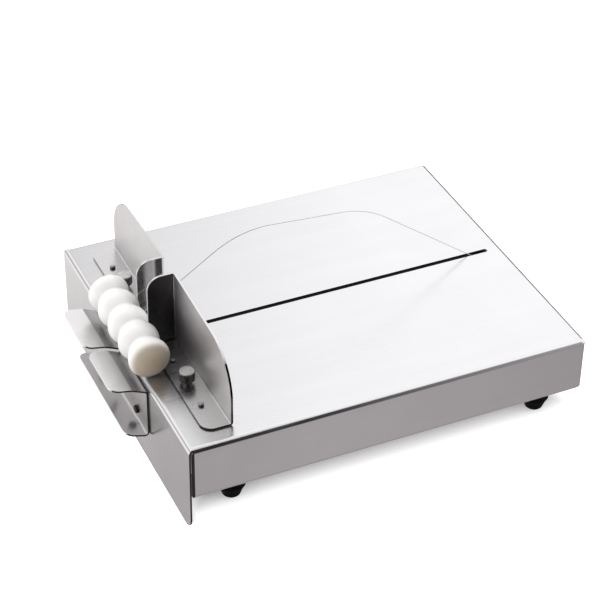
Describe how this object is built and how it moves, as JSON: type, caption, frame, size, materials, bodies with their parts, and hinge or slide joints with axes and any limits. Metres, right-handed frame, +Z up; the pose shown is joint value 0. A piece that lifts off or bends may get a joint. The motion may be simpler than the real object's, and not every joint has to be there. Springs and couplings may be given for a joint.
{
  "type": "wire cheese slicer board",
  "caption": "Folded steel slicing board with a slot, a cutting wire anchored at its far end, a lobed grip that rises between guide brackets, a parking cradle, thumb screws and rubber feet.",
  "frame": {"origin": "middle of the bounding box's underside, level with the lip's lower edge and in the slot's plane", "axes": "+X along the slot from the lip to the wire's anchor, +Y from the front wall to the rear wall, +Z up"},
  "size_m": [0.3836, 0.294, 0.1645],
  "materials": {
    "board_steel": "satin stainless sheet",
    "bracket_steel": "satin stainless sheet",
    "turned_steel": "turned and knurled",
    "hardware_steel": "plain bright fasteners",
    "dark_screw": "blackened",
    "black_rubber": "matt",
    "ivory_plastic": "soft gloss",
    "wire_steel": "drawn wire"
  },
  "bodies": {
    "base": {"base_pan": "board_steel", "slot_rail_front": "board_steel", "slot_rail_rear": "board_steel", "guide_bracket_front": "bracket_steel", "guide_bracket_rear": "bracket_steel", "locating_pins": "hardware_steel", "thumb_screw_nuts": "hardware_steel", "handle_cradle": "bracket_steel", "cradle_screws": "dark_screw", "cradle_washers": "hardware_steel", "cradle_nuts": "hardware_steel", "foot_front_left": "black_rubber", "foot_front_right": "black_rubber", "foot_rear_left": "black_rubber", "foot_rear_right": "black_rubber", "foot_screws": "hardware_steel", "foot_washers": "hardware_steel", "foot_nuts": "hardware_steel", "anchor_bolt": "hardware_steel", "anchor_spacers": "hardware_steel", "anchor_nut": "hardware_steel", "eye_terminal": "hardware_steel"},
    "handle": {"handle_grip": "ivory_plastic", "wire_stop": "hardware_steel", "grip_plug": "ivory_plastic", "cutting_wire": "wire_steel"},
    "thumb_front": {"thumb_screw_front": "turned_steel"},
    "thumb_rear": {"thumb_screw_rear": "turned_steel"}
  },
  "joints": [
    {"name": "handle_lift", "type": "slide", "parent": "base", "child": "handle", "axis": [0, 0, 1], "range_m": [0, 0.14], "deforming": ["cutting_wire"]},
    {"name": "thumb_screw_front_turn", "type": "hinge", "parent": "base", "child": "thumb_front", "pos_m": [-0.13137, -0.071, 0.092], "axis": [0, 0, 1], "continuous": true},
    {"name": "thumb_screw_rear_turn", "type": "hinge", "parent": "base", "child": "thumb_rear", "pos_m": [-0.13137, 0.071, 0.092], "axis": [0, 0, 1], "continuous": true}
  ]
}
